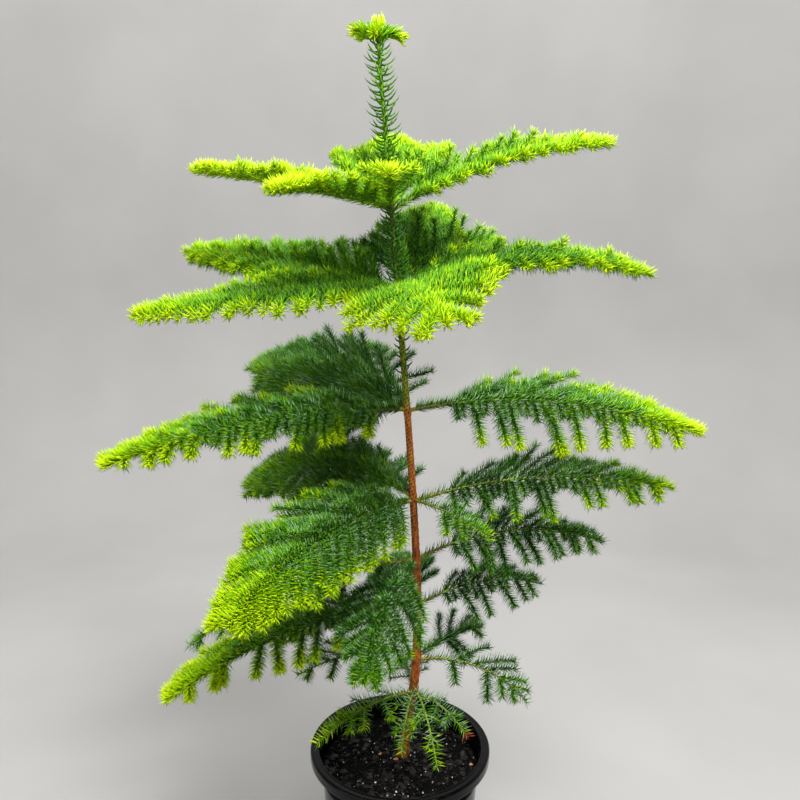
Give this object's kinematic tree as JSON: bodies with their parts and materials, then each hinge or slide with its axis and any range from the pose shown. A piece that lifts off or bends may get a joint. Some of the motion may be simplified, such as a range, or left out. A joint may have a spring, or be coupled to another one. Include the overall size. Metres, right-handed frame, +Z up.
{
  "type": "potted norfolk island pine",
  "caption": "Young conifer with whorled, fern-like boughs of soft green needles on a slim leaning trunk, standing in a round black plastic nursery pot of potting mix.",
  "frame": {"origin": "centre of the pot's flat underside, where it stands on the ground", "axes": "+Z up along the trunk's growth; +X to the right and -Y towards the viewer, the plant's light side"},
  "size_m": [0.5941, 0.3206, 0.9582],
  "materials": {
    "pot_plastic": "black moulded plastic with a soft sheen and faint upright scuffs",
    "potting_mix": "dark crumbly bark and peat mix with white perlite grains and tan chips",
    "bark": "red-brown bark with dark leaf-scar scales, turning green towards the top",
    "old_needles": "mid to deep green, slightly waxy incurved needles",
    "young_needles": "bright yellow-green new needles with a soft sheen"
  },
  "bodies": {
    "root": {"bough_w2_back_right": "bark", "bough_w2_left": "bark", "bough_w2_right": "bark", "bough_w3_back": "bark", "bough_w3_left": "bark", "bough_w3_right": "bark", "bough_w4_back_left": "bark", "bough_w4_front_left": "bark", "bough_w4_right": "bark", "bough_w5_back": "bark", "bough_w5_back_left": "bark", "bough_w5_front_left": "bark", "bough_w5_front_right": "bark", "bough_w5_right": "bark", "bough_w6_back": "bark", "bough_w6_back_left": "bark", "bough_w6_front_left": "bark", "bough_w6_right": "bark", "foliage_w1_back": "old_needles", "foliage_w1_front": "old_needles", "foliage_w1_front_left": "old_needles", "foliage_w1_front_right": "old_needles", "foliage_w1_right": "old_needles", "foliage_w2_back_right": "old_needles", "foliage_w2_left": "old_needles", "foliage_w2_right": "old_needles", "foliage_w3_back": "old_needles", "foliage_w3_left": "old_needles", "foliage_w3_right": "old_needles", "foliage_w4_back_left": "old_needles", "foliage_w4_front_left": "old_needles", "foliage_w4_right": "old_needles", "foliage_w5_back": "old_needles", "foliage_w5_back_left": "old_needles", "foliage_w5_front_left": "old_needles", "foliage_w5_front_right": "old_needles", "foliage_w5_right": "old_needles", "foliage_w6_back": "old_needles", "foliage_w6_back_left": "old_needles", "foliage_w6_front_left": "old_needles", "foliage_w6_right": "old_needles", "foliage_w7_back": "young_needles", "foliage_w7_back_left": "young_needles", "foliage_w7_back_right": "young_needles", "foliage_w7_front": "young_needles", "foliage_w7_front_left": "young_needles", "foliage_w7_right": "young_needles", "foliage_w8_back": "young_needles", "foliage_w8_back_left": "young_needles", "foliage_w8_back_right": "young_needles", "foliage_w8_front": "young_needles", "foliage_w8_front_left": "young_needles", "foliage_w8_left": "young_needles", "foliage_w8_right": "young_needles", "leader_needles": "young_needles", "leader_tuft": "young_needles", "pot": "pot_plastic", "soil": "potting_mix", "trunk": "bark", "upper_stem_needles": "old_needles"}
  },
  "joints": []
}
